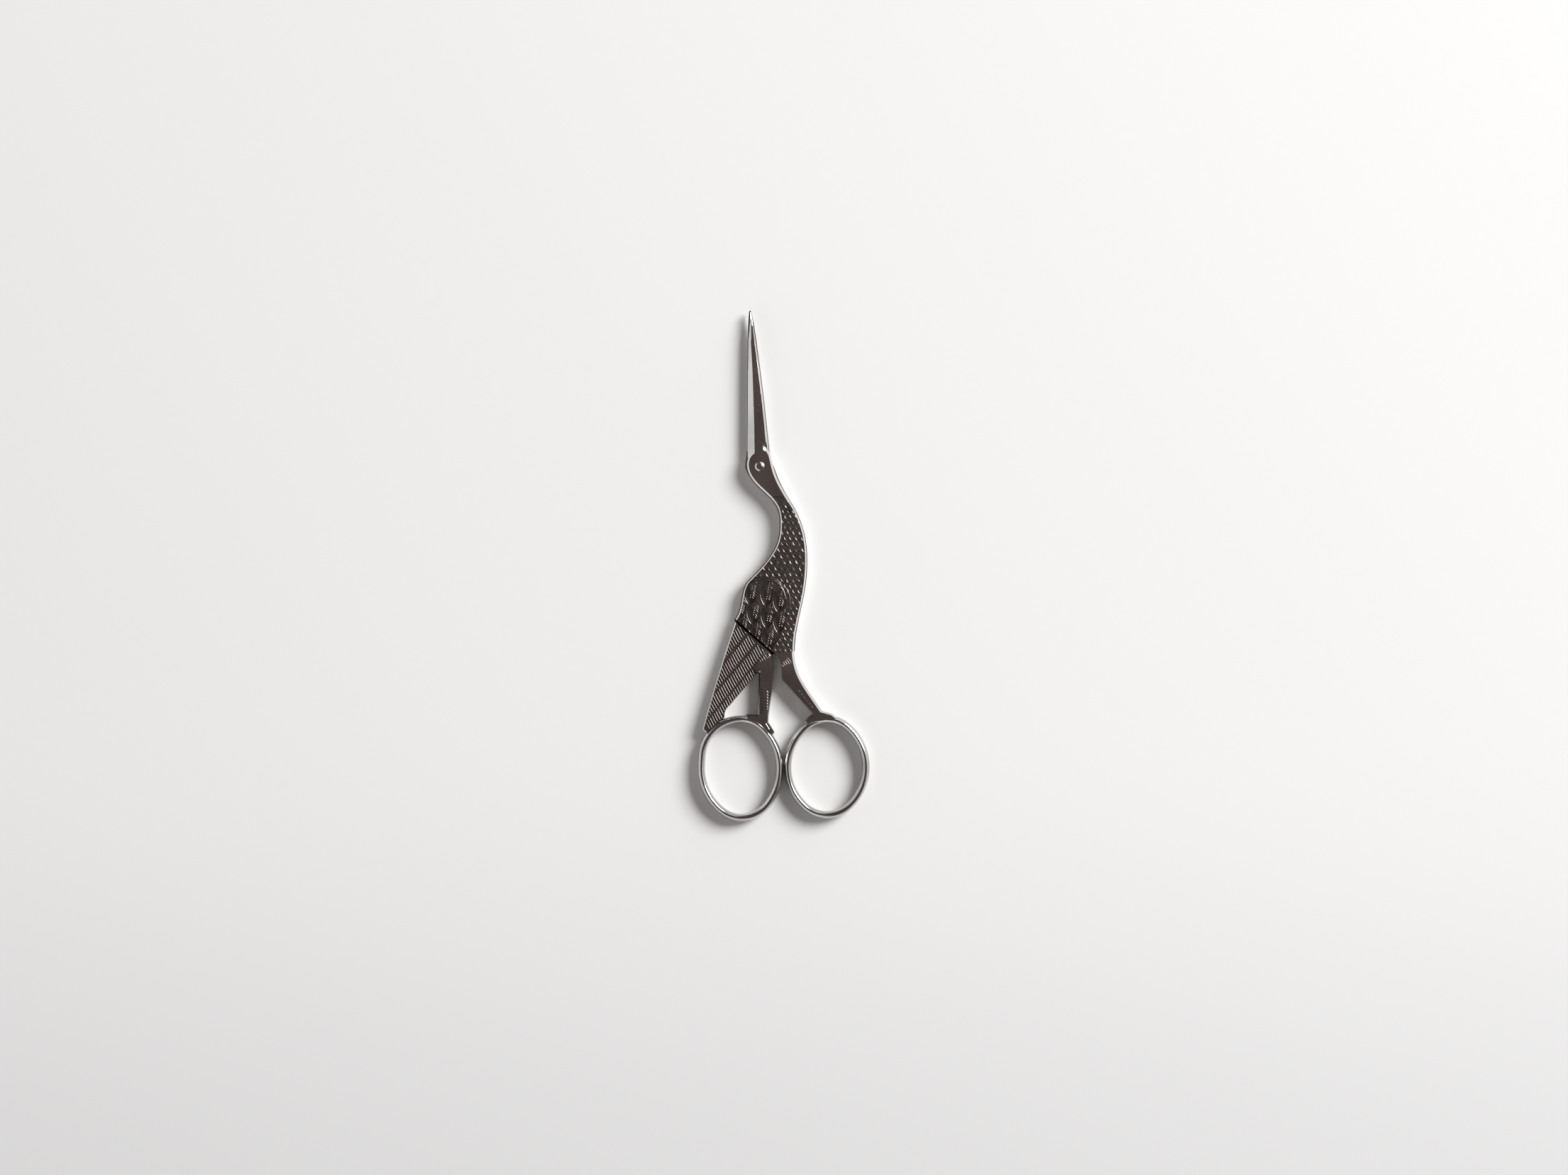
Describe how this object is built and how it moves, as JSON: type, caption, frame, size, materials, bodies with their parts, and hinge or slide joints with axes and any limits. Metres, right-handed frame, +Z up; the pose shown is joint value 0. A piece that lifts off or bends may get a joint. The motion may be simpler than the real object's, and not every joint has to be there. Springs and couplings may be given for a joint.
{
  "type": "embroidery scissors",
  "caption": "Small stork-shaped embroidery scissors: long beak blades, feathered neck, body and tail, and oval finger rings, turning on a domed rivet.",
  "frame": {"origin": "middle of the closed scissors' plan, on the plane that they lie on", "axes": "+Y from the finger rings towards the beak tip, +Z up out of the side that shows the rivet's head, +X to the right of the closed scissors seen from that side"},
  "size_m": [0.0388, 0.115, 0.004],
  "materials": {
    "front_steel": "polished, with darker engraved feathers",
    "back_steel": "polished, with darker engraved feathers",
    "rivet_steel": "polished"
  },
  "bodies": {
    "back": {"back_half": "back_steel", "pivot_rivet": "rivet_steel"},
    "front": {"front_half": "front_steel"}
  },
  "joints": [
    {"name": "blade_pivot", "type": "hinge", "parent": "back", "child": "front", "pos_m": [-0.00541, 0.02242, 0.00177], "axis": [0, 0, 1], "range_deg": [0, 75]}
  ]
}
